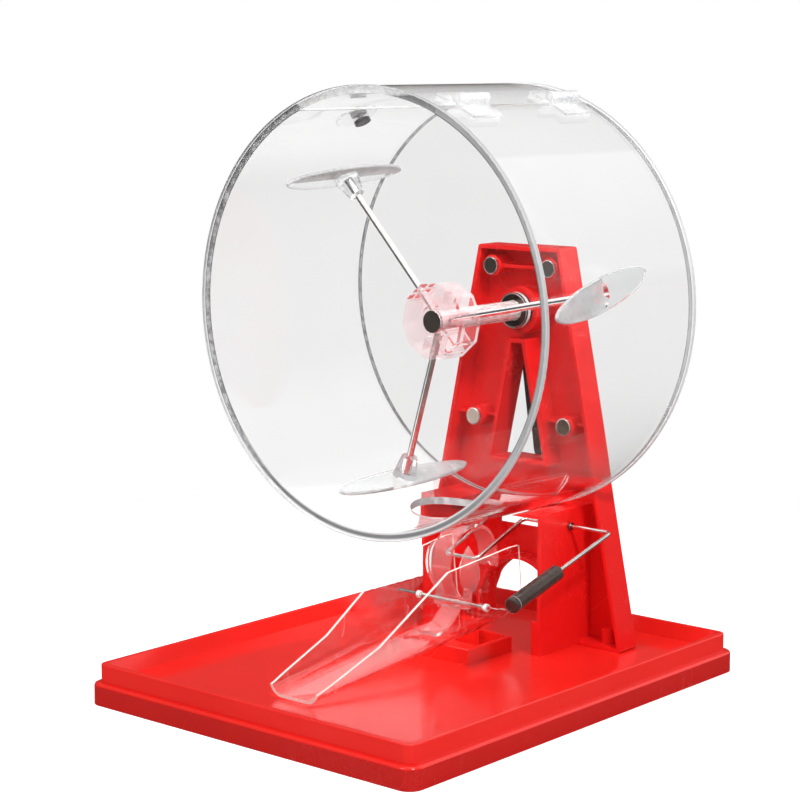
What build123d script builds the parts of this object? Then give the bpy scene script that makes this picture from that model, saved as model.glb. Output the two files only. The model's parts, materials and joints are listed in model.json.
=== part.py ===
from build123d import *
from math import cos, sin, tan, radians, sqrt, atan2, degrees
import os

# Raffle drum: a clear drum on a red A-frame, paddles turned by a rear crank,
# a wire lever, a rocking ball gate, a clear chute and a red tray.
# Millimetres. Origin at the middle of the tray's underside, +Z up, the chute's
# mouth and the drum's front towards -Y, the crank behind at +Y.

# ---- Tray ----
tray_w = 286.0
tray_d = 355.0
skirt_h = 15.0
rim_top = 27.5
rim_inset = 4.4
rim_wall = 3.5
rim_draft = 4.5
floor_top = 17.0
floor_t = 3.0
skirt_wall = 3.0
skirt_corner_r = 10.0
rim_corner_r = 7.0
block_half = 31.0
block_y = (13.5, 62.5)
block_top = 28.5
block_wall = 2.4
block_ledge = 13.0
post_half = 7.0
post_y = (50.0, 56.0)
seat_gap = 0.3
dimple_r = 3.6
dimple_y = -3.0
dimple_h = 0.5
rib_t = 3.0
centre_pad_r = 9.0

# ---- Drum ----
drum_r = 150.0
drum_bottom = 113.0
drum_z = drum_bottom + drum_r
drum_front = -59.5
drum_back = 107.0
disc_t = 4.0
disc_lip = 0.7
tube_r = drum_r - disc_lip
tube_wall = 5.0
cut_reach = 2 * drum_r
door_half = 24.0
seam_gap = 0.8
exit_r = 32.0
exit_y = 39.5

# ---- Door hinges and latch ----
hinge_len = 30.0
hinge_ys = (-25.0, 72.0)
leaf_w = 15.5
leaf_t = 2.0
barrel_r = 3.4
hinge_pin_r = 1.25
hinge_rise = 5.7
axis_r = tube_r + hinge_rise
knuckles = 5
run_gap = 0.05
fit_gap = 0.15
stand_off = 0.3
latch_angle = 120.5
latch_r = 15.0
latch_t = 3.0
latch_shift = 3.5
latch_cap_r = 5.8

# ---- Agitator ----
shaft_drop = 10.3
shaft_z = drum_z - shaft_drop
shaft_r = 7.0
shaft_front = 12.8
end_cap_r = 8.0
hub_y = (13.3, 32.3)
hub_r = 27.0
hub_sides = 10
hub_wall = 2.6
hub_boss_r = 11.0
spoke_w = 13.0
spoke_t = 9.6
cheek_t = 1.8
rod_r = 2.5
rod_angles = (131.5, 251.5, 11.5)
rod_leans = (-2.0, 3.0, 3.5)
sweep_r = tube_r - tube_wall - shaft_drop
paddle_gaps = (8.5, 14.5, 7.5)
paddle_at = [sweep_r - gap for gap in paddle_gaps]
paddle_twist = (-1.7, 3.0, 11.3)
leaf_half = (59.0, 63.0, 58.0)
leaf_half_w = 11.0
paddle_t = 3.0
socket_len = 15.0
socket_base_r = 9.0
socket_tip_r = 5.6
rod_depth = 2.0
rod_start = 9.0

# ---- Stand ----
stand_front = drum_back + seat_gap
stand_back = 127.5
stand_top = drum_z + 35.0
top_half = 34.5
side_slope = 0.207
wall = 3.0
gap_top = shaft_z - 23.7
gap_top_half = 4.6
gap_slope = 0.214
gap_floor = 145.0
boss_upper = (24.1, drum_z + 20.0)
boss_lower = (39.2, drum_z - 90.8)
boss_r = 7.6
insert_r = 6.3
insert_t = 2.2
bush_r = 12.0
bush_front = drum_back - 4.8
bearing_boss_r = 17.0
box_half = 54.0
box_front = 64.9
box_top = drum_bottom + 4.0
foot_in = 8.0
foot_len = 7.5
foot_top = 41.0
slot_half = 29.0
slot_z = (92.5, 104.0)
arch_r = 35.0
arch_z = 36.0
cradle_gap = 1.5

# ---- Crank ----
arm_y = (132.5, 142.5)
arm_hub_r = 20.0
arm_end_r = 9.0
arm_len = 104.0
arm_tilt = 2.0
crank_pin_r = 3.0
knob_r = 12.0
knob_y = (143.2, 173.6)
pin_head_r = 5.5
pin_end = 177.3

# ---- Lever ----
wire_r = 1.5
axle = (98.1, 104.6)
loop_half = 13.7
loop_at = (43.9, 84.3)
axle_left = -57.5
lever_x = 89.0
lever_drop = 15.5
lever_len = 116.0
grip_r = 5.5
grip_len = 53.0
bend_r = 4.0

# ---- Chute and gate ----
chute_t = 2.0
chute_y = (-127.0, 75.0)
chute_half = (22.0, 31.0)
chute_z = (18.0, 39.8)
chute_round = (11.0, 13.0)
chute_edge = [(-127.0, 25.5), (-123.5, 26.5), (-70.0, 46.0), (-3.0, 85.0), (61.0, 92.0), (70.5, 92.0),
              (75.0, 46.0)]
gate_pin_r = 1.5
gate_pin = (33.8, 54.1)
gate_pin_x = (-49.5, 32.8)
collar_r = 2.7
collar_len = 2.6
gate_t = 2.4
hood_c = (48.0, 80.0)
hood_r = 26.3
strip_half = 8.0
strip_end = 208.0
tip_angle = -15.0
tip_notch = 3.4
wing_out = (17.25, -17.0, -3.0)
wing_half = 6.9
wing_low = 18.5
wing_high = 17.8
foot_x = (10.5, 13.8)
gate_hub_r = 4.2
gate_hub_half = 14.0
tail_c = (4.5, 69.2)
tail_end = -86.5
tail_start = -25.5

screw_r = 2.0
screw_head_r = 4.0


def block(x0, x1, y0, y1, z0, z1):
    """A box between two corners."""
    at = Pos((x0 + x1) / 2, (y0 + y1) / 2, (z0 + z1) / 2)
    return at * Box(x1 - x0, y1 - y0, z1 - z0)


def rod_y(r, y0, y1, x=0.0, z=0.0):
    """A round bar along Y."""
    return Pos(x, (y0 + y1) / 2, z) * Rot(X=90) * Cylinder(r, y1 - y0)


def rod_x(r, x0, x1, y=0.0, z=0.0):
    """A round bar along X."""
    return Pos((x0 + x1) / 2, y, z) * Rot(Y=90) * Cylinder(r, x1 - x0)


def rod_z(r, z0, z1, x=0.0, y=0.0):
    """A round bar along Z."""
    return Pos(x, y, (z0 + z1) / 2) * Cylinder(r, z1 - z0)


def prism_y(points, y0, y1):
    """An (x, z) outline carried along Y."""
    plane = Plane(origin=(0, y1, 0), x_dir=(1, 0, 0), z_dir=(0, -1, 0))
    return extrude(plane * make_face(Polyline(*points, close=True)), amount=y1 - y0)


def prism_x(points, x0, x1):
    """A (y, z) outline carried along X."""
    plane = Plane(origin=(x0, 0, 0), x_dir=(0, 1, 0), z_dir=(1, 0, 0))
    return extrude(plane * make_face(Polyline(*points, close=True)), amount=x1 - x0)


def rounded_block(w, d, z0, z1, r):
    """A box about the origin with rounded upright edges."""
    return Pos(0, 0, z0) * extrude(RectangleRounded(w, d, r), amount=z1 - z0)


def on_rim(angle, r):
    """A point of the drum's section at this angle and radius."""
    a = radians(angle)
    return (r * cos(a), drum_z + r * sin(a))


def radial(angle, r=0.0, y=0.0):
    """Frame on the drum: X along the drum, Y around it, Z straight out."""
    a = radians(angle)
    out = (cos(a), 0, sin(a))
    x, z = on_rim(angle, r)
    return Plane(origin=(x, y, z), x_dir=(0, 1, 0), z_dir=out)


def save(node, shape):
    if isinstance(shape, (list, ShapeList)):
        shape = Compound(list(shape))
    export_step(shape, f"parts/{node}.step")


# ---------------------------------------------------------------- tray
def chute_floor(y):
    """Height of the chute's underside."""
    share = (y - chute_y[0]) / (chute_y[1] - chute_y[0])
    return chute_z[0] + (chute_z[1] - chute_z[0]) * share


def make_block():
    """Raised frame under the chute, with a pocket and the post that carries the chute."""
    front, back = block_y
    frame = block(-block_half, block_half, front, back, floor_top - 0.5, block_top)
    frame = chamfer(frame.faces().sort_by(Axis.Z)[-1].edges(), 0.8)
    inner = block_half - block_wall
    frame -= block(-inner, inner, front + block_ledge, back - block_wall, floor_top, block_top + 1)
    near, rear = post_y
    top = chute_floor(near) - seat_gap
    return frame + block(-post_half, post_half, near, rear, floor_top - 0.5, top)


def make_tray():
    skirt = rounded_block(tray_w, tray_d, 0, skirt_h, skirt_corner_r)
    skirt = fillet(skirt.faces().sort_by(Axis.Z)[-1].edges(), 2.5)
    rim_w = tray_w - 2 * rim_inset
    rim_d = tray_d - 2 * rim_inset
    rim = rounded_block(rim_w, rim_d, 1, rim_top, rim_corner_r)
    rim = fillet(rim.faces().sort_by(Axis.Z)[-1].edges(), 0.9)
    tray = skirt + rim
    top_w = rim_w - 2 * rim_wall
    top_d = rim_d - 2 * rim_wall
    low = Pos(0, 0, floor_top) * RectangleRounded(top_w - 2 * rim_draft, top_d - 2 * rim_draft, 3.0)
    high = Pos(0, 0, rim_top + 1) * RectangleRounded(top_w, top_d, 4.5)
    tray -= loft([low, high])
    under_w = tray_w - 2 * skirt_wall
    under_d = tray_d - 2 * skirt_wall
    tray -= rounded_block(under_w, under_d, -1, floor_top - floor_t, skirt_corner_r - skirt_wall)
    under = floor_top - floor_t + 0.5
    half_w = under_w / 2 + 0.5
    half_d = under_d / 2 + 0.5
    tray += block(-half_w, half_w, -rib_t / 2, rib_t / 2, 0, under)
    tray += block(-rib_t / 2, rib_t / 2, -half_d, half_d, 0, under)
    for side in (-1, 1):
        y = side * tray_d / 4
        tray += block(-half_w, half_w, y - rib_t / 2, y + rib_t / 2, 0, under)
    tray += rod_z(centre_pad_r, 0, under)
    tray += make_block()
    tray += rod_z(dimple_r, floor_top - 0.5, floor_top + dimple_h, 0, dimple_y)
    for x, y, _ in screw_places():
        tray -= rod_z(screw_r + 0.2, -1, floor_top + 2, x, y)
    return tray


# ---------------------------------------------------------------- stand
def half_width(z):
    return top_half + side_slope * (stand_top - z)


def gap_half(z):
    return gap_top_half + gap_slope * (gap_top - z)


def screw_places():
    """Where the stand is screwed down from under the tray, with the screw's top."""
    leg = half_width(floor_top) - 17.5
    front = box_front + 3.6
    return [(leg, 117.4, 29.0), (-leg, 117.4, 29.0),
            (box_half - 4, front, 33.0), (-box_half + 4, front, 33.0)]


def frame_outline(inset):
    low, high = floor_top + inset, stand_top - inset
    return [(-half_width(low) + inset, low), (half_width(low) - inset, low),
            (half_width(high) - inset, high), (-half_width(high) + inset, high)]


def gap_outline(grow):
    low, high = gap_floor - grow, gap_top + grow
    a, b = gap_half(gap_floor) + grow, gap_top_half + grow
    return [(-a, low), (a, low), (b, high), (-b, high)]


def make_stand():
    shell = prism_y(frame_outline(0), stand_front, stand_back)
    shell = fillet(shell.edges().filter_by(Axis.Y), 2.0)
    shell -= prism_y(frame_outline(wall), stand_front - 1, stand_back - wall)
    shell += prism_y(gap_outline(wall), stand_front, stand_back)
    # lower box: two side walls, stepped feet and a deck cut to cradle the drum
    back_in = stand_back - wall + 0.5
    for side in (-1, 1):
        a, b = sorted((side * (box_half - wall), side * box_half))
        shell += block(a, b, box_front, back_in, floor_top, box_top)
        a, b = sorted((side * (box_half - foot_in), side * box_half))
        foot = block(a, b, box_front, box_front + foot_len, floor_top, foot_top)
        shell += foot
    deck = block(-box_half, box_half, box_front, back_in, box_top - wall, box_top)
    deck -= rod_y(drum_r + cradle_gap, box_front - 1, stand_front + 0.2, 0, drum_z)
    shell += deck
    # arch tunnel
    tunnel = rod_y(arch_r + wall, stand_front, stand_back, 0, arch_z)
    tunnel += block(-arch_r - wall, arch_r + wall, stand_front, stand_back, floor_top, arch_z)
    tunnel &= block(-60, 60, 0, 200, floor_top, 200)
    shell += tunnel
    cut = rod_y(arch_r, stand_front - 1, stand_back + 1, 0, arch_z)
    cut += block(-arch_r, arch_r, stand_front - 1, stand_back + 1, floor_top - 1, arch_z)
    shell -= cut
    shell -= prism_y(gap_outline(0), stand_front - 1, stand_back + 1)
    low, high = slot_z
    shell -= block(-slot_half, slot_half, stand_back - wall - 1, stand_back + 1, low, high)
    # bosses behind the drum, their ribs and the bearing boss
    web = stand_back - wall + 0.5
    for x0, z0 in (boss_upper, boss_lower):
        for side in (-1, 1):
            shell += rod_y(boss_r, stand_front + insert_t, web, side * x0, z0)
    x0, z0 = boss_upper
    shell += block(-x0, x0, stand_front + 5, web, z0 - 1.2, z0 + 1.2)
    x0, z0 = boss_lower
    for side in (-1, 1):
        a, b = sorted((side * (gap_half(z0) + 1), side * (half_width(z0) - 1)))
        shell += block(a, b, stand_front + 7, web, z0 + 1.0, z0 + 3.2)
    shell += rod_y(bearing_boss_r, stand_front + 3, web, 0, shaft_z)
    shell -= rod_y(bush_r + fit_gap, stand_front - 1, stand_back + 1, 0, shaft_z)
    # lever bearings and screw holes
    y, z = axle
    shell -= rod_x(wire_r + run_gap, -box_half - 1, box_half + 1, y, z)
    for x, y, top in screw_places():
        if y > stand_front:
            shell += rod_z(5.0, floor_top, top + 2, x, y)
        shell -= rod_z(screw_r + fit_gap, floor_top - 1, top, x, y)
    return shell


def make_bush():
    y, z = (bush_front, stand_back + 1.5), shaft_z
    bush = rod_y(bush_r, y[0], y[1], 0, z)
    return bush - rod_y(shaft_r + run_gap, y[0] - 1, y[1] + 1, 0, z)


# ---------------------------------------------------------------- drum
def sector(a0, a1, y0, y1):
    """A wedge of the drum's section between two angles, carried along Y."""
    mid = (a0 + a1) / 2
    points = [on_rim(mid, 0)]
    for a in (a0, mid, a1):
        grow = 1 / cos(radians(a1 - a0) / 4) if a == mid else 1
        points.append(on_rim(a, cut_reach * grow))
    return prism_y(points, y0, y1)


def latch_plane():
    return radial(latch_angle, 0, (drum_front + drum_back) / 2)


def make_tube():
    y0, y1 = drum_front + disc_t, drum_back - disc_t
    tube = rod_y(tube_r, y0, y1, 0, drum_z) - rod_y(tube_r - tube_wall, y0 - 1, y1 + 1, 0, drum_z)
    tube -= sector(90 - door_half, 90 + door_half, y0 - 1, y1 + 1)
    tube -= rod_z(exit_r, drum_z - drum_r - 5, drum_z - 60, 0, exit_y)
    tube -= latch_plane() * (Pos(0, 0, tube_r) * Cylinder(2.2, 30))
    return tube


def make_disc(y0, hole):
    disc = rod_y(drum_r, y0, y0 + disc_t, 0, drum_z)
    disc = fillet(disc.edges().filter_by(GeomType.CIRCLE), 0.6)
    if hole:
        disc -= rod_y(bush_r + 1.0, y0 - 1, y0 + disc_t + 1, 0, shaft_z)
    return disc


def make_door():
    y0, y1 = drum_front + disc_t + seam_gap, drum_back - disc_t - seam_gap
    gap = degrees(seam_gap / tube_r)
    a0, a1 = 90 - door_half + gap, 90 + door_half - gap
    panel = rod_y(tube_r, y0, y1, 0, drum_z) - rod_y(tube_r - tube_wall, y0 - 1, y1 + 1, 0, drum_z)
    return panel & sector(a0, a1, y0 - 1, y1 + 1)


def hinge_axis():
    return on_rim(90 - door_half, axis_r)


def make_leaf(y_mid, moving):
    """One hinge leaf: a flat plate beside the seam, a raised foot and its knuckles."""
    side = 1 if moving else -1
    seam = 90 - door_half
    turn = degrees((leaf_w / 2 + 1.8) / tube_r)
    frame = radial(seam + side * turn, 0, y_mid)
    base = tube_r + stand_off
    plate = frame * (Pos(0, 0, base + leaf_t / 2) * Box(hinge_len, leaf_w, leaf_t))
    plate = fillet(plate.edges().filter_by(Axis((0, 0, 0), frame.z_dir)), 2.0)
    x, z = hinge_axis()
    barrel = rod_y(barrel_r, y_mid - hinge_len / 2, y_mid + hinge_len / 2, x, z)
    # the foot ties the plate's inner edge to the barrel
    around = Vector(frame.y_dir) * (-side)
    edge = Vector(frame.origin) + Vector(frame.z_dir) * (base + leaf_t / 2)
    edge += around * (leaf_w / 2 - 3.0)
    corner = edge + around * 3.0
    out = Vector(frame.z_dir)
    up = Vector(x, 0, z)
    under = out * -(leaf_t / 2 - 0.01)
    top = up + out * (barrel_r * 0.6) - around * 2.2
    points = [(v.X, v.Z) for v in (edge + under, corner + under, up + around * 0.2, top)]
    foot = prism_y(points, y_mid - hinge_len / 2, y_mid + hinge_len / 2)
    step = hinge_len / knuckles
    keep = None
    for i in range(knuckles):
        if (i % 2 == 1) == moving:
            a = y_mid - hinge_len / 2 + i * step + (run_gap if i else 0)
            b = y_mid - hinge_len / 2 + (i + 1) * step - (run_gap if i < knuckles - 1 else 0)
            piece = block(x - 30, x + 30, a, b, z - 30, z + 30)
            keep = piece if keep is None else keep + piece
    leaf = plate + ((barrel + foot) & keep)
    bore = hinge_pin_r + (run_gap if moving else 0.0) + (0 if moving else fit_gap)
    leaf -= rod_y(bore, y_mid - hinge_len, y_mid + hinge_len, x, z)
    return leaf


def make_hinge_pin(y_mid):
    x, z = hinge_axis()
    return rod_y(hinge_pin_r, y_mid - hinge_len / 2 - 0.6, y_mid + hinge_len / 2 + 0.6, x, z)


def make_latch():
    base = tube_r + stand_off
    disc = Pos(-latch_shift, 0, base + latch_t / 2) * Cylinder(latch_r, latch_t)
    disc = fillet(disc.edges().filter_by(GeomType.CIRCLE), 0.6)
    disc -= Pos(0, 0, base) * Cylinder(2.0 + run_gap, 20)
    return latch_plane() * disc


def make_latch_screw():
    base = tube_r + stand_off + latch_t + 0.1
    cap = Pos(0, 0, base + 2.2) * Cylinder(latch_cap_r, 4.4)
    cap = fillet(cap.edges().group_by(Axis.Z)[-1], 1.2)
    inner = tube_r - tube_wall - 0.3
    head = Pos(0, 0, inner - 1.2) * Cylinder(latch_cap_r, 2.4)
    shank = Pos(0, 0, (base + inner) / 2) * Cylinder(2.0, base - inner + 1)
    return latch_plane() * (cap + head + shank)


# ---------------------------------------------------------------- agitator
def rod_frame(i):
    """Frame of one spoke: origin on the shaft axis, Z out along the spoke."""
    a, lean = radians(rod_angles[i]), radians(rod_leans[i])
    out = Vector(cos(a) * cos(lean), sin(lean), sin(a) * cos(lean))
    mid = sum(hub_y) / 2
    across = Vector(-sin(a), 0, cos(a))
    along = across.cross(out)
    return Plane(origin=(0, mid, shaft_z), x_dir=along, z_dir=out)


def make_shaft():
    shaft = rod_y(shaft_r, shaft_front + 1.2, arm_y[1] + 0.3, 0, shaft_z)
    cap = rod_y(end_cap_r, shaft_front - 0.4, shaft_front + 2.0, 0, shaft_z)
    return shaft + fillet(cap.edges().sort_by(Axis.Y)[0], 0.5)


def make_hub():
    y0, y1 = hub_y
    plane = Plane(origin=(0, y1, shaft_z), x_dir=(1, 0, 0), z_dir=(0, -1, 0))
    turn = rod_angles[0] + 18.0
    outer = extrude(plane * (Rot(Z=turn) * RegularPolygon(hub_r, hub_sides)), amount=y1 - y0)
    inner = extrude(plane * (Rot(Z=turn) * RegularPolygon(hub_r - hub_wall, hub_sides)), amount=y1 - y0)
    hub = outer - inner + rod_y(hub_boss_r, y0, y1 + 3, 0, shaft_z)
    for i, angle in enumerate(rod_angles):
        arm = Pos(0, (y0 + y1) / 2, shaft_z) * Rot(Y=-angle)
        reach = hub_r * cos(radians(180 / hub_sides)) - 0.5
        spoke = Pos(reach / 2, 0, 0) * Box(reach, spoke_w, spoke_t)
        web = Box(reach, y1 - y0 - 1.0, cheek_t)
        hub += arm * spoke
        for side in (-1, 1):
            hub += arm * Rot(Y=180) * Pos(reach / 2, 0, side * (spoke_t / 2 - cheek_t / 3)) * web
    bore_start = rod_start - 0.5
    bore_len = 1.6 * hub_r
    for i in range(3):
        hub -= rod_frame(i) * (Pos(0, 0, bore_start + bore_len / 2) * Cylinder(rod_r + fit_gap, bore_len))
    hub -= rod_y(shaft_r + fit_gap, y0 - 1, y1 + 5, 0, shaft_z)
    hub -= rod_y(end_cap_r + fit_gap, y0 - 1, shaft_front + 2.2, 0, shaft_z)
    return hub


def make_rod(i):
    start, end = rod_start, paddle_at[i] - rod_depth
    return rod_frame(i) * (Pos(0, 0, (start + end) / 2) * Cylinder(rod_r, end - start))


def make_paddle(i):
    r = paddle_at[i]
    leaf = extrude(Ellipse(leaf_half[i], leaf_half_w), amount=paddle_t)
    leaf = fillet(leaf.edges(), 1.2)
    socket = Pos(0, 0, (0.5 - socket_len) / 2) * Cone(socket_tip_r, socket_base_r, socket_len + 0.5)
    paddle = leaf + socket
    depth = rod_depth - 0.3
    paddle -= Pos(0, 0, -depth - socket_len / 2) * Cylinder(rod_r + fit_gap, socket_len)
    return rod_frame(i) * (Pos(0, 0, r) * Rot(Z=paddle_twist[i]) * paddle)


# ---------------------------------------------------------------- crank
def crank_end():
    a = radians(-90 + arm_tilt)
    return arm_len * cos(a), shaft_z + arm_len * sin(a)


def make_arm():
    x, z = crank_end()
    y0, y1 = arm_y
    arm = rod_y(arm_hub_r, y0, y1, 0, shaft_z) + rod_y(arm_end_r, y0, y1, x, z)
    lean = atan2(arm_hub_r - arm_end_r, arm_len)
    a = radians(-90 + arm_tilt)
    points = []
    for side in (1, -1):
        n = a + side * (radians(90) - lean)
        points.append((arm_hub_r * cos(n), shaft_z + arm_hub_r * sin(n)))
        points.append((x + arm_end_r * cos(n), z + arm_end_r * sin(n)))
    order = [points[k] for k in (0, 1, 3, 2)]
    arm += prism_y(order, y0, y1)
    arm -= rod_y(shaft_r + fit_gap, y0 - 1, y1 + 1, 0, shaft_z)
    arm -= rod_y(crank_pin_r + fit_gap, y0 - 1, y1 + 1, x, z)
    return arm


def make_crank_nut():
    y = arm_y[1] + 0.6
    nut = rod_y(10.0, y, y + 4.0, 0, shaft_z)
    return fillet(nut.edges().sort_by(Axis.Y)[-1], 1.5)


def make_crank_pin():
    x, z = crank_end()
    pin = rod_y(crank_pin_r, arm_y[0] + 0.5, pin_end - 1, x, z)
    head = rod_y(pin_head_r, pin_end - 3.2, pin_end, x, z)
    return pin + fillet(head.edges().sort_by(Axis.Y)[-1], 1.0)


def make_knob():
    x, z = crank_end()
    y0, y1 = knob_y
    mid = (y0 + y1) / 2
    start, corner = (crank_pin_r + run_gap, y0), (knob_r - 3.5, y0)
    top = Line(start, corner)
    side = ThreePointArc(corner, (knob_r - 0.6, (y0 + mid) / 2 + 1), (knob_r - 1.0, y1 - 2.5))
    edge = ThreePointArc((knob_r - 1.0, y1 - 2.5), (knob_r - 1.9, y1 - 0.6), (knob_r - 4.0, y1))
    back = Line((knob_r - 4.0, y1), (crank_pin_r + run_gap, y1))
    inner = Line((crank_pin_r + run_gap, y1), start)
    face = make_face(Curve() + [top, side, edge, back, inner])
    return Pos(x, 0, z) * revolve(face, Axis.Y)


# ---------------------------------------------------------------- lever
def bent_wire(points, r, bend):
    """Round wire along straight runs with rounded bends."""
    pts = [Vector(*p) for p in points]
    edges = []
    start = pts[0]
    for i in range(1, len(pts) - 1):
        a = (pts[i - 1] - pts[i]).normalized()
        b = (pts[i + 1] - pts[i]).normalized()
        half = radians(a.get_angle(b)) / 2
        back = bend / tan(half)
        p, q = pts[i] + a * back, pts[i] + b * back
        centre = pts[i] + (a + b).normalized() * (bend / sin(half))
        mid = centre + (pts[i] - centre).normalized() * bend
        edges.append(Line(start, p))
        edges.append(ThreePointArc(p, mid, q))
        start = q
    edges.append(Line(start, pts[-1]))
    path = Wire([e if isinstance(e, Edge) else e.edge() for e in edges])
    section = Plane(origin=pts[0], z_dir=(pts[1] - pts[0])) * Circle(r)
    return sweep(section, path=path)


def grip_ends():
    a = radians(lever_drop)
    far = (axle[0] - lever_len * cos(a), axle[1] - lever_len * sin(a))
    near = (far[0] + grip_len * cos(a), far[1] + grip_len * sin(a))
    return near, far


def make_wire():
    y, z = axle
    ly, lz = loop_at
    near, far = grip_ends()
    points = [(axle_left, y, z), (-loop_half, y, z), (-loop_half, ly, lz), (loop_half, ly, lz),
              (loop_half, y, z), (lever_x, y, z), (lever_x, far[0] + 4, far[1] + 1.1)]
    return bent_wire(points, wire_r, bend_r)


def make_grip():
    near, far = grip_ends()
    a = radians(lever_drop)
    frame = Plane(origin=(lever_x, far[0], far[1]), x_dir=(1, 0, 0), z_dir=(0, cos(a), sin(a)))
    grip = Pos(0, 0, grip_len / 2) * Cylinder(grip_r, grip_len)
    grip = fillet(grip.edges().filter_by(GeomType.CIRCLE), 0.8)
    grip -= Pos(0, 0, grip_len / 2 + 3) * Cylinder(wire_r + fit_gap, grip_len)
    return frame * grip


def make_ferrule():
    y, z = axle
    x = box_half + 0.4
    ring = rod_x(2.9, x, x + 1.8, y, z)
    return ring - rod_x(wire_r + 0.1, x - 1, x + 3, y, z)


# ---------------------------------------------------------------- chute and gate
def chute_section(y, half, low, r, inset):
    high = 110.0
    w = 2 * (half - inset)
    h = high - low - inset
    plane = Plane(origin=(0, y, low + inset), x_dir=(1, 0, 0), z_dir=(0, -1, 0))
    face = Pos(0, h / 2) * Rectangle(w, h)
    face = fillet(face.vertices().group_by(Axis.Y)[0], r - inset)
    return plane * face


def make_chute():
    y0, y1 = chute_y
    slope = (chute_z[1] - chute_z[0]) / (y1 - y0)
    widen = (chute_half[1] - chute_half[0]) / (y1 - y0)

    def body(inset, extra):
        ends = []
        for k, y in ((0, y0 - extra), (1, y1 + extra)):
            half = chute_half[0] + widen * (y - y0)
            low = chute_z[0] + slope * (y - y0)
            ends.append(chute_section(y, half, low, chute_round[k], inset))
        return loft(ends)

    trough = body(0, 0) - body(chute_t, 2)
    keep = [(y1, 0.0), (y0, 0.0)] + chute_edge
    trough &= prism_x(keep, -60, 60)
    y, z = gate_pin
    trough -= rod_x(gate_pin_r + fit_gap, -60, 60, y, z)
    return trough


def make_gate_pin():
    y, z = gate_pin
    return rod_x(gate_pin_r, gate_pin_x[0], gate_pin_x[1], y, z)


def chute_half_at(y):
    t = (y - chute_y[0]) / (chute_y[1] - chute_y[0])
    return chute_half[0] + (chute_half[1] - chute_half[0]) * t


def make_collar(side):
    y, z = gate_pin
    near = chute_half_at(y + collar_r) + 0.3
    a, b = sorted((side * near, side * (near + collar_len)))
    collar = rod_x(collar_r, a, b, y, z)
    return collar - rod_x(gate_pin_r + 0.1, a - 1, b + 1, y, z)


def on_arc(centre, r, angle):
    """A (y, z) point at this radius and angle about a centre."""
    a = radians(angle)
    return (centre[0] + r * cos(a), centre[1] + r * sin(a))


def arc_band(centre, r, a0, a1):
    """A curved strip of the gate's width and thickness between two angles, seen along X."""
    y, z = centre
    band = rod_x(r + gate_t / 2, -strip_half, strip_half, y, z)
    band -= rod_x(r - gate_t / 2, -strip_half - 1, strip_half + 1, y, z)
    steps = 6
    fan = [centre] + [on_arc(centre, 3 * r, a0 + (a1 - a0) * i / steps) for i in range(steps + 1)]
    return band & prism_x(fan, -strip_half - 1, strip_half + 1)


def make_wing():
    """Right-hand leaf of the gate: a pointed oval of a ball's shell, and its foot on the hub."""
    y, z = gate_pin
    at = Pos(0, *hood_c)
    shell = at * (Sphere(hood_r + gate_t / 2) - Sphere(hood_r - gate_t / 2))
    out = Vector(*wing_out)
    plane = Plane(origin=(0, *hood_c), x_dir=(-out.Y, out.X, 0), z_dir=out)
    inner = ThreePointArc((0, -wing_low), (-wing_half, 0), (0, wing_high))
    outer = ThreePointArc((0, wing_high), (wing_half, 0), (0, -wing_low))
    leaf = shell & extrude(plane * make_face(Curve() + [inner, outer]), amount=hood_r + gate_t)
    foot = [(y - 3.2, z), (y + 3.2, z), (y + 4.4, z + 5.0), (y + 1.2, z + 11.0), (y - 1.4, z + 10.5)]
    return leaf + prism_x(foot, *foot_x)


def make_gate():
    """Ball gate: a curved strip from tail to hood, with two leaves that hug the ball."""
    y, z = gate_pin
    hood = arc_band(hood_c, hood_r, tip_angle, strip_end)
    notch = Rot(X=tip_angle) * Rot(Y=45) * Box(tip_notch, 9, tip_notch)
    hood -= Pos(0, *on_arc(hood_c, hood_r, tip_angle)) * notch
    outer = on_arc(hood_c, hood_r + gate_t / 2, strip_end - 1)
    inner = on_arc(hood_c, hood_r - gate_t / 2, strip_end - 1)
    neck = prism_x([outer, inner, (y + 1.6, z), (y - 1.8, z)], -strip_half, strip_half)
    wing = make_wing()
    hub = rod_x(gate_hub_r, -gate_hub_half, gate_hub_half, y, z)
    tail_r = sqrt((y - tail_c[0]) ** 2 + (z - tail_c[1]) ** 2)
    tail = arc_band(tail_c, tail_r, tail_end, tail_start)
    gate = hood + neck + wing + mirror(wing, about=Plane.YZ) + hub + tail
    gate -= rod_x(gate_pin_r + run_gap, -60, 60, y, z)
    return gate


def make_screw(x, y, top):
    floor = floor_top - floor_t
    head = rod_z(screw_head_r, floor - 2.7, floor - 0.2, x, y)
    head = fillet(head.edges().sort_by(Axis.Z)[0], 1.0)
    return head + rod_z(screw_r, floor - 0.5, top - 1.0, x, y)


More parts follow.
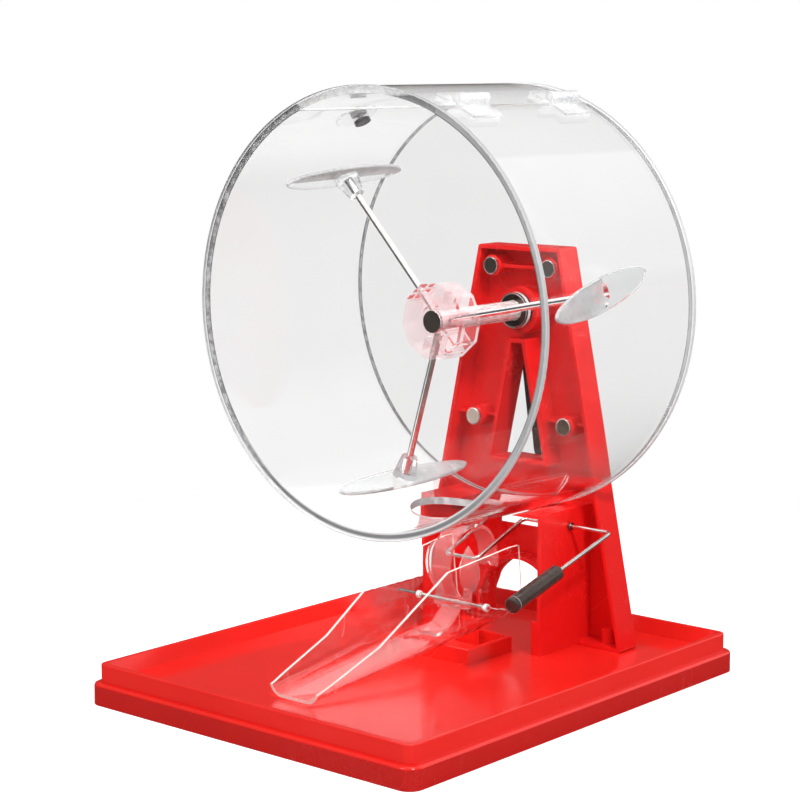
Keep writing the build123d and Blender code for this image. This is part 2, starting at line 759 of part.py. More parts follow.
def main():
    os.makedirs("parts", exist_ok=True)
    save("base_tray", make_tray())
    save("stand_frame", make_stand())
    save("shaft_bush", make_bush())
    names = ("upper_left", "upper_right", "lower_left", "lower_right")
    places = [(side * x, z) for x, z in (boss_upper, boss_lower) for side in (-1, 1)]
    for name, (x, z) in zip(names, places):
        insert = rod_y(insert_r, stand_front, stand_front + insert_t - 0.1, x, z)
        save(f"drum_mount_{name}", fillet(insert.edges().sort_by(Axis.Y)[0], 0.5))
    save("drum_tube", make_tube())
    save("drum_front_disc", make_disc(drum_front, False))
    save("drum_back_disc", make_disc(drum_back - disc_t, True))
    save("drum_door", make_door())
    for name, y in zip(("front", "back"), hinge_ys):
        save(f"door_hinge_fixed_{name}", make_leaf(y, False))
        save(f"door_hinge_leaf_{name}", make_leaf(y, True))
        save(f"door_hinge_pin_{name}", make_hinge_pin(y))
    save("door_latch_disc", make_latch())
    save("door_latch_screw", make_latch_screw())
    save("drive_shaft", make_shaft())
    save("paddle_hub", make_hub())
    for i in range(3):
        save(f"paddle_rod_{i + 1}", make_rod(i))
        save(f"paddle_{i + 1}", make_paddle(i))
    save("crank_arm", make_arm())
    save("crank_nut", make_crank_nut())
    save("crank_pin", make_crank_pin())
    save("crank_knob", make_knob())
    save("lever_wire", make_wire())
    save("lever_grip", make_grip())
    save("lever_ferrule", make_ferrule())
    save("ball_chute", make_chute())
    save("gate_pin", make_gate_pin())
    save("gate_collar_left", make_collar(-1))
    save("gate_collar_right", make_collar(1))
    save("ball_gate", make_gate())
    for i, (x, y, top) in enumerate(screw_places()):
        save(f"stand_screw_{i + 1}", make_screw(x, y, top))


main()
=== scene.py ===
# Raffle drum: a clear drum on a red A-frame and tray, paddles turned by a crank,
# a wire lever, a rocking ball gate and a clear chute. Metres, in the part's frame.
import bmesh
import bpy
import json
from math import cos, pi, radians, sin
from mathutils import Matrix, Vector


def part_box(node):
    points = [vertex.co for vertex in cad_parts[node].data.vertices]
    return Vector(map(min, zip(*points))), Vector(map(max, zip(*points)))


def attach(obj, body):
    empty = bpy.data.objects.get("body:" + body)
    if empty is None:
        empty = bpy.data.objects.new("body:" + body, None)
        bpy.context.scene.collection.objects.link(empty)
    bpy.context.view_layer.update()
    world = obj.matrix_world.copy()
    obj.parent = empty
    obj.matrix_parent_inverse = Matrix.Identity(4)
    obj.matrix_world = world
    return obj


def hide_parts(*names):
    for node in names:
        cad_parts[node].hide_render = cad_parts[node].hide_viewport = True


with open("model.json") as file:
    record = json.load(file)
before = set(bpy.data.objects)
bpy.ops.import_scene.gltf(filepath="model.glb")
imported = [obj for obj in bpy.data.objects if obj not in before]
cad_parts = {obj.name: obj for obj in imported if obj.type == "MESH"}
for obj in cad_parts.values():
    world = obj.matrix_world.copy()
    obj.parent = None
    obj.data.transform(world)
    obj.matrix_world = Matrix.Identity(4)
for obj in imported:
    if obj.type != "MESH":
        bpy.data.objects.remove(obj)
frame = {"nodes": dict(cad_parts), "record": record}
NODES = frame["nodes"]
RECORD = frame["record"]
BODY_OF = {node: body for body, nodes in RECORD["behaviour"]["bodies"].items() for node in nodes}
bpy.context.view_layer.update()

# ---- Colours and finishes ----
RED_TRAY = (0.83, 0.018, 0.013)
RED_STAND = (0.80, 0.012, 0.011)
DISC_CLEAR = (0.945, 0.943, 0.942)
TUBE_CLEAR = (0.982, 0.980, 0.980)
HINGE_CLEAR = (0.960, 0.965, 0.970)
PADDLE_CLEAR = (0.900, 0.910, 0.915)
# the hub's and the gate's pink tints and their pink edges are painted reflection of the red stand and tray
HUB_PINK_PAINTED_REFLECTION = (0.980, 0.850, 0.860)
GATE_PINK_PAINTED_REFLECTION = (0.980, 0.850, 0.840)
CHUTE_CLEAR = (0.950, 0.942, 0.940)
EDGE_WHITE = (0.90, 0.90, 0.90)
EDGE_GREY = (0.36, 0.365, 0.37)
EDGE_PINK_PAINTED_REFLECTION = (0.96, 0.86, 0.85)
STEEL_BROWN = (0.23, 0.19, 0.16)
BLACK = (0.016, 0.014, 0.013)
NYLON = (0.86, 0.84, 0.83)
PLASTIC_IOR = 1.49
WALL_IOR = 1.28

# ---- Places on the part ----
DRUM_Z = 0.263
WALL_INNER_R = 0.1443
WALL_OUTER_R = 0.1493
WALL_FRONT_Y = -0.0555
WALL_BACK_Y = 0.1030
END_BAND = 0.0001
GLUE_GAP = 0.00006
SHAFT_Z = 0.2527
HUB_MID = 0.0228
SPOKES = ((131.5, -2.0), (251.5, 3.0), (11.5, 3.5))
LEAF_DEPTH = 0.0031
SKIRT_TOP = 0.0152
LEVER_AXLE = Vector((0.089, 0.0981, 0.1046))
LEVER_DROP = radians(15.5)
GRIP_END = 0.116
GRIP_R = 0.0055
GRIP_LENGTH = 0.053
CHUTE_EDGE = ((-0.127, 0.0255), (-0.1235, 0.0265), (-0.070, 0.046), (-0.003, 0.085), (0.061, 0.092),
              (0.0705, 0.092))


# ---------------------------------------------------------------- node helpers
def new_group(name, inputs, outputs):
    """A shader node group with named float, colour or vector sockets."""
    group = bpy.data.node_groups.new(name, "ShaderNodeTree")
    kinds = {"f": "NodeSocketFloat", "c": "NodeSocketColor", "v": "NodeSocketVector"}
    for label, kind, default in inputs:
        socket = group.interface.new_socket(label, in_out="INPUT", socket_type=kinds[kind])
        if default is not None:
            socket.default_value = default
    for label, kind in outputs:
        group.interface.new_socket(label, in_out="OUTPUT", socket_type=kinds[kind])
    start = group.nodes.new("NodeGroupInput")
    end = group.nodes.new("NodeGroupOutput")
    return group, start, end


def link(tree, out, into):
    tree.links.new(out, into)


def feed(tree, socket, value):
    """Links a socket's output, or writes a number or a colour."""
    if hasattr(value, "links"):
        link(tree, value, socket)
    elif isinstance(value, tuple) and len(value) == 3 and socket.type == "RGBA":
        socket.default_value = (*value, 1.0)
    else:
        socket.default_value = value


def math_node(tree, op, a, b=None, clamp=False):
    node = tree.nodes.new("ShaderNodeMath")
    node.operation = op
    node.use_clamp = clamp
    feed(tree, node.inputs[0], a)
    if b is not None:
        feed(tree, node.inputs[1], b)
    return node.outputs[0]


def noise(tree, vector, scale, detail=3.0, rough=0.55):
    node = tree.nodes.new("ShaderNodeTexNoise")
    feed(tree, node.inputs["Scale"], scale)
    node.inputs["Detail"].default_value = detail
    node.inputs["Roughness"].default_value = rough
    link(tree, vector, node.inputs["Vector"])
    return node.outputs["Fac"]


def ramp(tree, value, low, high, out_low=0.0, out_high=1.0):
    node = tree.nodes.new("ShaderNodeMapRange")
    link(tree, value, node.inputs["Value"])
    for label, number in (("From Min", low), ("From Max", high), ("To Min", out_low), ("To Max", out_high)):
        feed(tree, node.inputs[label], number)
    return node.outputs["Result"]


def mix_colour(tree, share, a, b):
    node = tree.nodes.new("ShaderNodeMix")
    node.data_type = "RGBA"
    for label, value in (("Factor", share), ("A", a), ("B", b)):
        feed(tree, [s for s in node.inputs if s.name == label and s.enabled][0], value)
    return [s for s in node.outputs if s.enabled][0]


def split(tree, vector):
    node = tree.nodes.new("ShaderNodeSeparateXYZ")
    link(tree, vector, node.inputs["Vector"])
    return node.outputs


def place(tree, stretch=(1, 1, 1), turn=(0, 0, 0)):
    """Object coordinates, turned and stretched."""
    coord = tree.nodes.new("ShaderNodeTexCoord")
    mapping = tree.nodes.new("ShaderNodeMapping")
    mapping.inputs["Scale"].default_value = stretch
    mapping.inputs["Rotation"].default_value = turn
    link(tree, coord.outputs["Object"], mapping.inputs["Vector"])
    return mapping.outputs["Vector"]


# ---------------------------------------------------------------- shared effects
def make_moulding_group():
    """Flow shade, fine pores and faint sinks of a moulded plastic."""
    group, start, end = new_group(
        "moulded_skin",
        [("Vector", "v", None), ("Flow Size", "f", 9.0), ("Pore Size", "f", 900.0)],
        [("Flow", "f"), ("Pores", "f"), ("Height", "f")])
    vector = start.outputs["Vector"]
    flow = noise(group, vector, start.outputs["Flow Size"], 4.0, 0.5)
    pores = noise(group, vector, start.outputs["Pore Size"], 2.0, 0.6)
    link(group, flow, end.inputs["Flow"])
    link(group, pores, end.inputs["Pores"])
    sink = math_node(group, "MULTIPLY", flow, 0.9)
    fine = math_node(group, "MULTIPLY", pores, 0.1)
    link(group, math_node(group, "ADD", sink, fine), end.inputs["Height"])
    return group


def make_wear_group():
    """Short hairlines in loose patches, and soft smudges left by hands and balls."""
    group, start, end = new_group(
        "rub_marks",
        [("Vector", "v", None), ("Line Size", "f", 22.0), ("Thinness", "f", 0.004),
         ("Smudge Size", "f", 16.0)],
        [("Lines", "f"), ("Smudges", "f")])
    vector = start.outputs["Vector"]
    lines = None
    for turn in (0.4, 1.9):
        mapping = group.nodes.new("ShaderNodeMapping")
        mapping.inputs["Rotation"].default_value = (turn, 0.6 * turn, turn)
        mapping.inputs["Scale"].default_value = (1.0, 9.0, 1.0)
        link(group, vector, mapping.inputs["Vector"])
        wave = noise(group, mapping.outputs["Vector"], start.outputs["Line Size"], 1.0, 0.4)
        offset = math_node(group, "ABSOLUTE", math_node(group, "SUBTRACT", wave, 0.5))
        thin = ramp(group, offset, 0.0, start.outputs["Thinness"], 1.0, 0.0)
        patch = ramp(group, noise(group, mapping.outputs["Vector"], 7.0 + turn, 2.0), 0.56, 0.66)
        mask = math_node(group, "MULTIPLY", thin, patch)
        lines = mask if lines is None else math_node(group, "MAXIMUM", lines, mask)
    link(group, lines, end.inputs["Lines"])
    smudge = noise(group, vector, start.outputs["Smudge Size"], 5.0, 0.62)
    link(group, ramp(group, smudge, 0.48, 0.72), end.inputs["Smudges"])
    return group


def make_brush_group():
    """Drawn or turned metal: fine streaks and darker handling stains."""
    group, start, end = new_group(
        "drawn_streaks", [("Vector", "v", None), ("Size", "f", 600.0), ("Stain Size", "f", 60.0)],
        [("Streaks", "f"), ("Stains", "f"), ("Height", "f")])
    streaks = noise(group, start.outputs["Vector"], start.outputs["Size"], 5.0, 0.65)
    stains = noise(group, start.outputs["Vector"], start.outputs["Stain Size"], 3.0, 0.6)
    link(group, streaks, end.inputs["Streaks"])
    link(group, ramp(group, stains, 0.42, 0.68), end.inputs["Stains"])
    link(group, streaks, end.inputs["Height"])
    return group


def make_edge_group():
    """Polished sawn edge of clear sheet: dark and pale bands that wander along it."""
    group, start, end = new_group(
        "sawn_edge",
        [("Vector", "v", None), ("Across", "f", 0.0), ("White", "c", (0.9, 0.9, 0.9, 1)),
         ("Grey", "c", (0.2, 0.2, 0.2, 1))],
        [("Color", "c"), ("Roughness", "f"), ("Height", "f")])
    vector = start.outputs["Vector"]
    wander = noise(group, vector, 11.0, 3.0, 0.5)
    core = math_node(group, "ABSOLUTE", start.outputs["Across"])
    band = ramp(group, core, 0.35, 0.72, 1.0, 0.0)
    depth = ramp(group, wander, 0.36, 0.64, 0.25, 1.0)
    speck = ramp(group, noise(group, vector, 420.0, 3.0, 0.7), 0.35, 0.62, 0.55, 1.0)
    dark = math_node(group, "MULTIPLY", math_node(group, "MULTIPLY", band, depth), speck, clamp=True)
    link(group, mix_colour(group, dark, start.outputs["White"], start.outputs["Grey"]), end.inputs["Color"])
    link(group, ramp(group, wander, 0.3, 0.7, 0.18, 0.34), end.inputs["Roughness"])
    link(group, speck, end.inputs["Height"])
    return group


GROUPS = {
    "skin": make_moulding_group(),
    "wear": make_wear_group(),
    "brush": make_brush_group(),
    "edge": make_edge_group(),
}


def use_group(tree, name, vector, **values):
    node = tree.nodes.new("ShaderNodeGroup")
    node.node_tree = GROUPS[name]
    link(tree, vector, node.inputs["Vector"])
    for label, value in values.items():
        feed(tree, node.inputs[label.replace("_", " ")], value)
    return node


def new_material(name):
    material = bpy.data.materials.new(name)
    material.use_nodes = True
    tree = material.node_tree
    shader = tree.nodes["Principled BSDF"]
    return material, tree, shader


def bump(tree, height, shader, strength, distance):
    node = tree.nodes.new("ShaderNodeBump")
    node.inputs["Strength"].default_value = strength
    node.inputs["Distance"].default_value = distance
    link(tree, height, node.inputs["Height"])
    link(tree, node.outputs["Normal"], shader.inputs["Normal"])


def shade(colour, factor):
    return tuple(min(1.0, c * factor) for c in colour)


# ---------------------------------------------------------------- finishes
def red_plastic(name, colour, roughness, flow_size=7.0):
    """Glossy injection-moulded red with flow shade, soft smudges and a few rub marks."""
    material, tree, shader = new_material(name)
    vector = place(tree)
    skin = use_group(tree, "skin", vector, Flow_Size=flow_size, Pore_Size=1300.0)
    wear = use_group(tree, "wear", vector, Line_Size=20.0, Thinness=0.0035, Smudge_Size=14.0)
    share = ramp(tree, skin.outputs["Flow"], 0.3, 0.7)
    body = mix_colour(tree, share, shade(colour, 0.93), shade(colour, 1.03))
    pale = math_node(tree, "MULTIPLY", wear.outputs["Lines"], 0.08)
    link(tree, mix_colour(tree, pale, body, (0.93, 0.30, 0.27)), shader.inputs["Base Color"])
    base = ramp(tree, skin.outputs["Pores"], 0.3, 0.7, roughness - 0.02, roughness + 0.03)
    smear = math_node(tree, "MULTIPLY", wear.outputs["Smudges"], 0.10)
    rub = math_node(tree, "MULTIPLY", wear.outputs["Lines"], 0.10)
    rough = math_node(tree, "ADD", math_node(tree, "ADD", base, smear), rub)
    link(tree, rough, shader.inputs["Roughness"])
    shader.inputs["IOR"].default_value = PLASTIC_IOR
    bump(tree, skin.outputs["Height"], shader, 0.12, 0.0003)
    return material


def clear_plastic(name, colour, roughness, marks=0.10, ripple=0.0, ior=PLASTIC_IOR, coat=0.0,
                  clarity=1.0, glowing_scratches=0.0):
    """Clear plastic with hairlines and faint smears; lamps shine through it. Its hairlines can also glow by
    emission: real scratches with painted light.
    """
    material, tree, shader = new_material(name)
    vector = place(tree)
    wear = use_group(tree, "wear", vector, Line_Size=16.0, Thinness=0.003, Smudge_Size=9.0)
    skin = use_group(tree, "skin", vector, Flow_Size=14.0, Pore_Size=700.0)
    shader.inputs["Transmission Weight"].default_value = clarity
    shader.inputs["IOR"].default_value = ior
    shader.inputs["Coat Weight"].default_value = coat
    shader.inputs["Coat Roughness"].default_value = 0.04
    tint = ramp(tree, skin.outputs["Flow"], 0.3, 0.7)
    body = mix_colour(tree, tint, shade(colour, 0.985), colour)
    smear = math_node(tree, "MULTIPLY", wear.outputs["Smudges"], 0.5)
    link(tree, mix_colour(tree, smear, body, shade(colour, 0.975)), shader.inputs["Base Color"])
    rub = math_node(tree, "MULTIPLY", wear.outputs["Lines"], marks)
    link(tree, math_node(tree, "ADD", rub, roughness), shader.inputs["Roughness"])
    if ripple:
        bump(tree, skin.outputs["Flow"], shader, ripple, 0.002)
    # hairlines that glow by emission: painted light on real scratches
    if glowing_scratches:
        pale = math_node(tree, "MULTIPLY", wear.outputs["Lines"], glowing_scratches)
        scratch_glow = mix_colour(tree, pale, (0.0, 0.0, 0.0), (0.60, 0.55, 0.53))
        link(tree, scratch_glow, shader.inputs["Emission Color"])
        shader.inputs["Emission Strength"].default_value = 1.0
    path = tree.nodes.new("ShaderNodeLightPath")
    see = tree.nodes.new("ShaderNodeBsdfTransparent")
    see.inputs["Color"].default_value = (*(c ** 0.3 for c in colour), 1.0)
    both = tree.nodes.new("ShaderNodeMixShader")
    link(tree, path.outputs["Is Shadow Ray"], both.inputs["Fac"])
    link(tree, shader.outputs["BSDF"], both.inputs[1])
    link(tree, see.outputs["BSDF"], both.inputs[2])
    link(tree, both.outputs["Shader"], tree.nodes["Material Output"].inputs["Surface"])
    return material


def painted_shade_sheet(name, colour, roughness, alpha):
    """Painted shade on one half of a clear leaf: a grey sheet, pale, uneven and partly see-through."""
    material, tree, shader = new_material(name)
    vector = place(tree)
    skin = use_group(tree, "skin", vector, Flow_Size=60.0, Pore_Size=900.0)
    wear = use_group(tree, "wear", vector, Line_Size=40.0, Thinness=0.004, Smudge_Size=50.0)
    uneven_shade = ramp(tree, skin.outputs["Flow"], 0.3, 0.7)
    body = mix_colour(tree, uneven_shade, shade(colour, 0.85), shade(colour, 1.12))
    rub = math_node(tree, "MULTIPLY", wear.outputs["Lines"], 0.5)
    link(tree, mix_colour(tree, rub, body, EDGE_WHITE), shader.inputs["Base Color"])
    rough = ramp(tree, wear.outputs["Smudges"], 0.0, 1.0, roughness, roughness + 0.15)
    link(tree, rough, shader.inputs["Roughness"])
    link(tree, ramp(tree, uneven_shade, 0.0, 1.0, alpha - 0.08, alpha + 0.08), shader.inputs["Alpha"])
    shader.inputs["IOR"].default_value = PLASTIC_IOR
    bump(tree, skin.outputs["Height"], shader, 0.1, 0.0002)
    return material


def sheet_edge(name, white, grey, middle=None, half=1.0, alpha=1.0):
    """Cut edge of clear sheet; middle and half set the band across Y, in metres."""
    material, tree, shader = new_material(name)
    vector = place(tree)
    if middle is None:
        across = ramp(tree, noise(tree, vector, 160.0, 3.0), 0.3, 0.7, -1.0, 1.0)
    else:
        across = ramp(tree, split(tree, vector)["Y"], middle - half, middle + half, -1.0, 1.0)
    edge = use_group(tree, "edge", vector, Across=across, White=(*white, 1.0), Grey=(*grey, 1.0))
    link(tree, edge.outputs["Color"], shader.inputs["Base Color"])
    link(tree, edge.outputs["Roughness"], shader.inputs["Roughness"])
    shader.inputs["IOR"].default_value = PLASTIC_IOR
    shader.inputs["Alpha"].default_value = alpha
    bump(tree, edge.outputs["Height"], shader, 0.2, 0.0001)
    return material


def wall_end(name):
    """Glued end of the drum's wall, seen through a disc: grey between dark lines, dark-cored low down."""
    material, tree, shader = new_material(name)
    vector = place(tree)
    parts = split(tree, vector)
    up = math_node(tree, "SUBTRACT", parts["Z"], DRUM_Z)
    up_squared = math_node(tree, "POWER", up, 2.0)
    side_squared = math_node(tree, "POWER", parts["X"], 2.0)
    radius = math_node(tree, "SQRT", math_node(tree, "ADD", up_squared, side_squared))
    off = math_node(tree, "ABSOLUTE", ramp(tree, radius, WALL_INNER_R, WALL_OUTER_R, -1.0, 1.0))
    wander = noise(tree, vector, 13.0, 3.0, 0.5)
    fine = noise(tree, vector, 260.0, 3.0, 0.6)
    low = ramp(tree, up, -0.08, -0.125)
    left = ramp(tree, parts["X"], 0.02, -0.10)
    lines = ramp(tree, off, 0.62, 0.86)
    core = ramp(tree, off, 0.35, 0.75, 1.0, 0.0)
    grey = mix_colour(tree, ramp(tree, wander, 0.35, 0.65), (0.44, 0.445, 0.45), (0.60, 0.605, 0.61))
    specks = math_node(tree, "MULTIPLY", left, ramp(tree, fine, 0.35, 0.60))
    grey = mix_colour(tree, specks, grey, (0.20, 0.20, 0.21))
    thin = math_node(tree, "MULTIPLY", lines, ramp(tree, wander, 0.30, 0.55, 0.35, 0.95))
    grey = mix_colour(tree, thin, grey, (0.10, 0.10, 0.105))
    dark_core = mix_colour(tree, core, (0.75, 0.75, 0.75), (0.17, 0.175, 0.18))
    link(tree, mix_colour(tree, low, grey, dark_core), shader.inputs["Base Color"])
    link(tree, ramp(tree, wander, 0.3, 0.7, 0.20, 0.36), shader.inputs["Roughness"])
    shader.inputs["IOR"].default_value = PLASTIC_IOR
    bump(tree, fine, shader, 0.15, 0.0001)
    return material


def drawn_metal(name, colour, stain, roughness, stretch, size=500.0, metallic=1.0):
    """Bright drawn steel: streaks along the bar and brownish handling stains."""
    material, tree, shader = new_material(name)
    vector = place(tree, stretch)
    brush = use_group(tree, "brush", vector, Size=size, Stain_Size=45.0)
    shader.inputs["Metallic"].default_value = metallic
    share = ramp(tree, brush.outputs["Streaks"], 0.3, 0.7)
    body = mix_colour(tree, share, shade(colour, 0.8), colour)
    dirt = math_node(tree, "MULTIPLY", brush.outputs["Stains"], 0.35)
    link(tree, mix_colour(tree, dirt, body, stain), shader.inputs["Base Color"])
    rough = ramp(tree, brush.outputs["Streaks"], 0.3, 0.7, roughness - 0.04, roughness + 0.08)
    link(tree, rough, shader.inputs["Roughness"])
    bump(tree, brush.outputs["Height"], shader, 0.15, 0.00005)
    return material


def dull_plastic(name, colour, roughness, grain=1400.0, depth=0.00012):
    """Satin plastic or rubber with a fine grain, pale rubbed patches and hairlines."""
    material, tree, shader = new_material(name)
    vector = place(tree)
    skin = use_group(tree, "skin", vector, Flow_Size=40.0, Pore_Size=grain)
    wear = use_group(tree, "wear", vector, Line_Size=60.0, Thinness=0.006, Smudge_Size=60.0)
    share = ramp(tree, skin.outputs["Flow"], 0.35, 0.75)
    pale = tuple(min(1.0, c * 1.5 + 0.006) for c in colour)
    body = mix_colour(tree, share, colour, pale)
    rub = math_node(tree, "MULTIPLY", wear.outputs["Lines"], 0.3)
    rubbed = tuple(min(1.0, c + 0.12) for c in colour)
    link(tree, mix_colour(tree, rub, body, rubbed), shader.inputs["Base Color"])
    rough = ramp(tree, skin.outputs["Pores"], 0.3, 0.7, roughness - 0.05, roughness + 0.07)
    smear = math_node(tree, "MULTIPLY", wear.outputs["Smudges"], 0.12)
    link(tree, math_node(tree, "ADD", rough, smear), shader.inputs["Roughness"])
    bump(tree, skin.outputs["Pores"], shader, 0.3, depth)
    return material


tray_red = red_plastic("tray_red", RED_TRAY, 0.13)
# the skirt's darker red is painted shade on the tray's upright sides
tray_skirt_painted_shade = red_plastic("tray_skirt_painted_shade", (0.55, 0.005, 0.003), 0.22)
stand_red = red_plastic("stand_red", RED_STAND, 0.20, 9.0)
disc_acrylic = clear_plastic("disc_acrylic", DISC_CLEAR, 0.0, ior=WALL_IOR)
tube_acrylic = clear_plastic("tube_acrylic", TUBE_CLEAR, 0.0, ior=WALL_IOR)
hinge_clear = clear_plastic("hinge_clear", HINGE_CLEAR, 0.02, 0.1, ior=1.06, coat=0.8, clarity=0.88)
paddle_clear = clear_plastic("paddle_clear", PADDLE_CLEAR, 0.03, 0.1, ior=1.3)
# hub and gate tinted pink: painted reflection of the red round them
hub_clear = clear_plastic("hub_clear", HUB_PINK_PAINTED_REFLECTION, 0.03, 0.1, ior=1.06, coat=0.6, clarity=0.95)
gate_clear = clear_plastic("gate_clear", GATE_PINK_PAINTED_REFLECTION, 0.03, 0.1, ior=1.09, coat=0.8, clarity=0.95)
# the chute's hairlines glow: painted light on real scratches
chute_clear = clear_plastic("chute_clear", CHUTE_CLEAR, 0.01, 0.2, 0.15, glowing_scratches=0.7)
front_rim = sheet_edge("front_rim", (0.60, 0.605, 0.61), EDGE_GREY, -0.0575, 0.002)
back_rim = sheet_edge("back_rim", (0.82, 0.825, 0.83), (0.42, 0.42, 0.43), 0.105, 0.002)
tube_edge = sheet_edge("tube_edge", EDGE_WHITE, (0.5, 0.5, 0.5), alpha=0.45)
chute_edge = sheet_edge("chute_edge", (0.96, 0.91, 0.86), (0.78, 0.66, 0.60), alpha=0.96)
glued_end = wall_end("glued_end")
paddle_edge = sheet_edge("paddle_edge", (0.66, 0.665, 0.67), (0.30, 0.305, 0.31), alpha=0.55)
pale_edge = sheet_edge("pale_edge", EDGE_WHITE, (0.55, 0.56, 0.57), alpha=0.8)
# pink sheet edges of hub and gate: painted reflection of the red
pink_edge_painted_reflection = sheet_edge("pink_edge_painted_reflection", EDGE_PINK_PAINTED_REFLECTION, (0.62, 0.36, 0.38), alpha=0.92)
rod_steel = drawn_metal("rod_steel", (1.0, 0.98, 0.97), (0.80, 0.74, 0.70), 0.10, (1, 1, 1))
wire_steel = drawn_metal("wire_steel", (0.86, 0.83, 0.81), STEEL_BROWN, 0.16, (1, 1, 1))
shaft_steel = drawn_metal("shaft_steel", (1.0, 0.92, 0.92), (0.70, 0.55, 0.48), 0.26, (1, 0.1, 1),
                          metallic=0.55)
bush_dark = drawn_metal("bush_dark", (0.10, 0.075, 0.065), (0.05, 0.04, 0.035), 0.25, (1, 1, 1), 900.0)
# dark steel for the ferrule; painted reflection on the upper caps' faces, painted shade on the shaft's front
# face and in the screws' sockets
dark_steel_and_shade = drawn_metal("dark_steel_and_shade", (0.20, 0.165, 0.14), (0.10, 0.08, 0.07), 0.32, (1, 1, 1), 900.0)
# bright steel for the crank's nut and pin and the screw heads; a painted highlight on the caps' rims, the
# shaft's front end and the bush's and ferrule's eased edges
bright_steel_and_highlight = drawn_metal("bright_steel_and_highlight", (0.90, 0.87, 0.84), STEEL_BROWN, 0.22, (1, 1, 1), 900.0)
crank_black = dull_plastic("crank_black", BLACK, 0.34)
grip_black = dull_plastic("grip_black", (0.030, 0.018, 0.014), 0.26, 2600.0, 0.0001)
# the grip's thin pale ring is a painted highlight
grip_ring_painted_highlight = dull_plastic("grip_ring_painted_highlight", (0.42, 0.38, 0.35), 0.3)
collar_nylon = dull_plastic("collar_nylon", NYLON, 0.35)
# brown and beige cap faces: painted reflection on the lower caps
cap_brown_painted_reflection = drawn_metal("cap_brown_painted_reflection", (0.20, 0.135, 0.09), (0.10, 0.07, 0.05), 0.30, (1, 1, 1), 900.0)
cap_beige_painted_reflection = drawn_metal("cap_beige_painted_reflection", (0.95, 0.82, 0.70), (0.60, 0.46, 0.36), 0.45, (1, 1, 1), 900.0)
# a grey, partly see-through sheet painted as shade over one half of each paddle leaf
paddle_painted_shade = painted_shade_sheet("paddle_painted_shade", (0.42, 0.425, 0.43), 0.22, 0.78)


# ---------------------------------------------------------------- pieces
def welded(node_name):
    """A welded copy of a part's mesh with its flat faces joined."""
    bm = bmesh.new()
    bm.from_mesh(NODES[node_name].data)
    bmesh.ops.remove_doubles(bm, verts=bm.verts, dist=1e-6)
    bmesh.ops.dissolve_limit(bm, angle_limit=radians(0.4), verts=bm.verts, edges=bm.edges)
    return bm


def add_piece(name, bm, materials, node_name, ease=0.0, ease_slot=None):
    """Turns a bmesh into a shown piece that stands for a part."""
    mesh = bpy.data.meshes.new(name)
    bm.to_mesh(mesh)
    bm.free()
    if "custom_normal" in mesh.attributes:
        mesh.attributes.remove(mesh.attributes["custom_normal"])
    for material in materials:
        mesh.materials.append(material)
    piece = bpy.data.objects.new(name, mesh)
    bpy.context.scene.collection.objects.link(piece)
    if ease:
        bevel = piece.modifiers.new("eased_edges", "BEVEL")
        bevel.width = ease
        bevel.segments = 2
        bevel.limit_method = "ANGLE"
        bevel.angle_limit = radians(38)
        bevel.harden_normals = True
        if ease_slot is not None:
            bevel.material = ease_slot
    flat = piece.modifiers.new("flat_faces", "WEIGHTED_NORMAL")
    flat.keep_sharp = True
    flat.weight = 90
    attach(piece, BODY_OF[node_name])
    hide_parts(node_name)
    return piece


def mark_sharp(bm, angle):
    """Smooth faces, with creases at corners and wherever the finish changes."""
    for face in bm.faces:
        face.smooth = True
    for edge in bm.edges:
        finishes = {face.material_index for face in edge.link_faces}
        edge.smooth = len(finishes) < 2 and edge.calc_face_angle(0.0) < radians(angle)


def dress(node_name, materials, pick=None, ease=0.0, ease_slot=None, sharp=30.0, change=None):
    """Smooth piece in a part's shape, with a finish for each kind of face and eased edges."""
    bm = welded(node_name)
    if change:
        change(bm)
    bm.normal_update()
    for face in bm.faces:
        face.material_index = pick(face.normal, face.calc_center_median()) if pick else 0
    mark_sharp(bm, sharp)
    return add_piece(node_name + "_piece", bm, materials, node_name, ease, ease_slot)


def lathe(node_name, profile, axis_at, axis, materials, steps=48, hexed=()):
    """Turned piece: (radius, distance along the axis, finish) rows; rows named in hexed are six-sided."""
    bm = bmesh.new()
    turn = Vector((0, 0, 1)).rotation_difference(Vector(axis)).to_matrix().to_4x4()
    at = Matrix.Translation(Vector(axis_at)) @ turn
    rings = []
    for row, (r, along, _) in enumerate(profile):
        ring = []
        for k in range(steps):
            a = 2 * pi * k / steps
            here = r
            if row in hexed:
                here = r * cos(pi / 6) / cos((a % (pi / 3)) - pi / 6)
            ring.append(bm.verts.new(at @ Vector((here * cos(a), here * sin(a), along))))
        rings.append(ring)
    for row in range(len(rings) - 1):
        for k in range(steps):
            j = (k + 1) % steps
            face = bm.faces.new((rings[row][k], rings[row][j], rings[row + 1][j], rings[row + 1][k]))
            face.material_index = profile[row][2]
    for ring, row, flip in ((rings[0], 0, True), (rings[-1], -2, False)):
        face = bm.faces.new(ring[::-1] if flip else ring)
        face.material_index = profile[row][2]
    bmesh.ops.recalc_face_normals(bm, faces=bm.faces)
    bm.normal_update()
    mark_sharp(bm, 35.0)
    return add_piece(node_name + "_piece", bm, materials, node_name)


def on_flat(normal, centre):
    """Discs: clear faces, edge finish round the rim and in the hole."""
    return 0 if abs(normal.y) > 0.93 else 1


def on_wall(normal, centre):
    """Drum wall: clear inside and out; seams and holes have the cut edge's finish, the ends their own."""
    out = Vector((centre.x, 0, centre.z - DRUM_Z)).normalized()
    if abs(normal.dot(out)) > 0.85:
        return 0
    at_end = centre.y < WALL_FRONT_Y + END_BAND or centre.y > WALL_BACK_Y - END_BAND
    return 2 if abs(normal.y) > 0.97 and at_end else 1


def on_bar_end(normal, centre):
    """Pieces that lie along Y: the edge finish on their two ends."""
    return 1 if abs(normal.y) > 0.9 else 0


